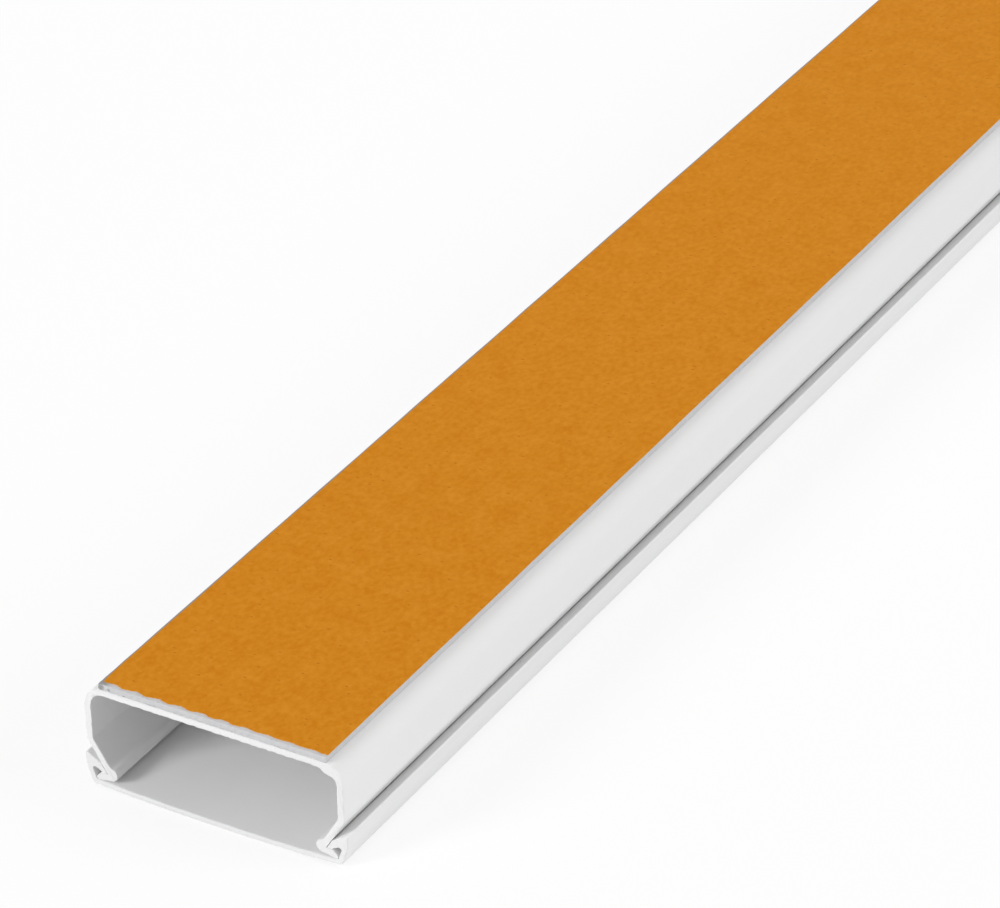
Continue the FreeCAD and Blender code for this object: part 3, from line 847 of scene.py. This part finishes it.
def add_floor(scene, settings):
    """The level square that the part lies on."""
    mesh = bpy.data.meshes.new("floor")
    signs = ((-1, -1), (1, -1), (1, 1), (-1, 1))
    corners = [(x * FLOOR_HALF, y * FLOOR_HALF, -FLOOR_DROP) for x, y in signs]
    mesh.from_pydata(corners, [], [(0, 1, 2, 3)])
    mesh.materials.append(pale_floor(settings))
    floor = bpy.data.objects.new("floor", mesh)
    scene.collection.objects.link(floor)


# Operators


def dress(piece, node):
    """Let a piece stand for its solid and ride with it."""
    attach(piece, "root")
    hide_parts(node)


class RACEWAY_OT_stage(bpy.types.Operator):
    """Set up the camera, the lamps, the even light and the floor"""

    bl_idname = "raceway.stage"
    bl_label = "Stage"

    def execute(self, context):
        scene = context.scene
        settings = scene.raceway_stage
        scene.view_settings.view_transform = "Standard"
        add_camera(scene, settings)
        add_lamp(scene, "front_lamp", settings.front_lamp, FRONT_LAMP_FROM, FRONT_LAMP_SPREAD)
        add_lamp(scene, "side_lamp", settings.side_lamp, SIDE_LAMP_FROM, SIDE_LAMP_SPREAD)
        add_even_light(scene, settings)
        add_floor(scene, settings)
        return {"FINISHED"}


class RACEWAY_OT_channel(bpy.types.Operator):
    """Draw the channel that is stuck to the wall"""

    bl_idname = "raceway.channel"
    bl_label = "Channel"

    def execute(self, context):
        finish, section = context.scene.raceway_finish, context.scene.raceway_section
        outline, burr = channel_outline(section), corner_burr(section, finish)
        piece = extrusion("channel_extrusion", "base_channel", outline, finish, burr)
        dress(piece, "base_channel")
        return {"FINISHED"}


class RACEWAY_OT_cover(bpy.types.Operator):
    """Draw the lid that snaps over the channel"""

    bl_idname = "raceway.cover"
    bl_label = "Snap lid"

    def execute(self, context):
        finish = context.scene.raceway_finish
        outline = cover_outline(context.scene.raceway_section)
        piece = extrusion("cover_extrusion", "snap_cover", outline, finish)
        dress(piece, "snap_cover")
        return {"FINISHED"}


class RACEWAY_OT_foam(bpy.types.Operator):
    """Draw the foam tape on the web"""

    bl_idname = "raceway.foam"
    bl_label = "Foam tape"

    def execute(self, context):
        tape = context.scene.raceway_tape
        piece = block("foam_strip", foam_grids(tape), cut_foam(tape))
        dress(piece, "foam_tape")
        return {"FINISHED"}


class RACEWAY_OT_liner(bpy.types.Operator):
    """Draw the paper liner over the adhesive"""

    bl_idname = "raceway.liner"
    bl_label = "Release liner"

    def execute(self, context):
        tape = context.scene.raceway_tape
        piece = block("liner_sheet", liner_grids(tape), amber_liner(tape))
        dress(piece, "release_liner")
        return {"FINISHED"}


class RACEWAY_PT_panel(bpy.types.Panel):
    """Lists the settings and the pieces"""

    bl_idname = "RACEWAY_PT_panel"
    bl_label = "Raceway"
    bl_space_type = "VIEW_3D"
    bl_region_type = "UI"
    bl_category = "Raceway"

    def draw(self, context):
        for name in SETTINGS:
            group = getattr(context.scene, name)
            column = self.layout.column(align=True)
            for key in type(group).__annotations__:
                column.prop(group, key)
        for operator in OPERATORS:
            self.layout.operator(operator.bl_idname)


SETTINGS = {
    "raceway_stage": StageSettings,
    "raceway_section": SectionSettings,
    "raceway_finish": ExtrusionSettings,
    "raceway_tape": TapeSettings,
}
OPERATORS = (
    RACEWAY_OT_stage, RACEWAY_OT_channel, RACEWAY_OT_cover, RACEWAY_OT_foam, RACEWAY_OT_liner)


def register():
    for kind in (*SETTINGS.values(), *OPERATORS, RACEWAY_PT_panel):
        bpy.utils.register_class(kind)
    for name, kind in SETTINGS.items():
        setattr(bpy.types.Scene, name, PointerProperty(type=kind))


def unregister():
    for name in SETTINGS:
        delattr(bpy.types.Scene, name)
    for kind in reversed((*SETTINGS.values(), *OPERATORS, RACEWAY_PT_panel)):
        bpy.utils.unregister_class(kind)


def main():
    register()
    bpy.ops.raceway.stage()
    bpy.ops.raceway.channel()
    bpy.ops.raceway.cover()
    bpy.ops.raceway.foam()
    bpy.ops.raceway.liner()


if __name__ == "__main__":
    main()
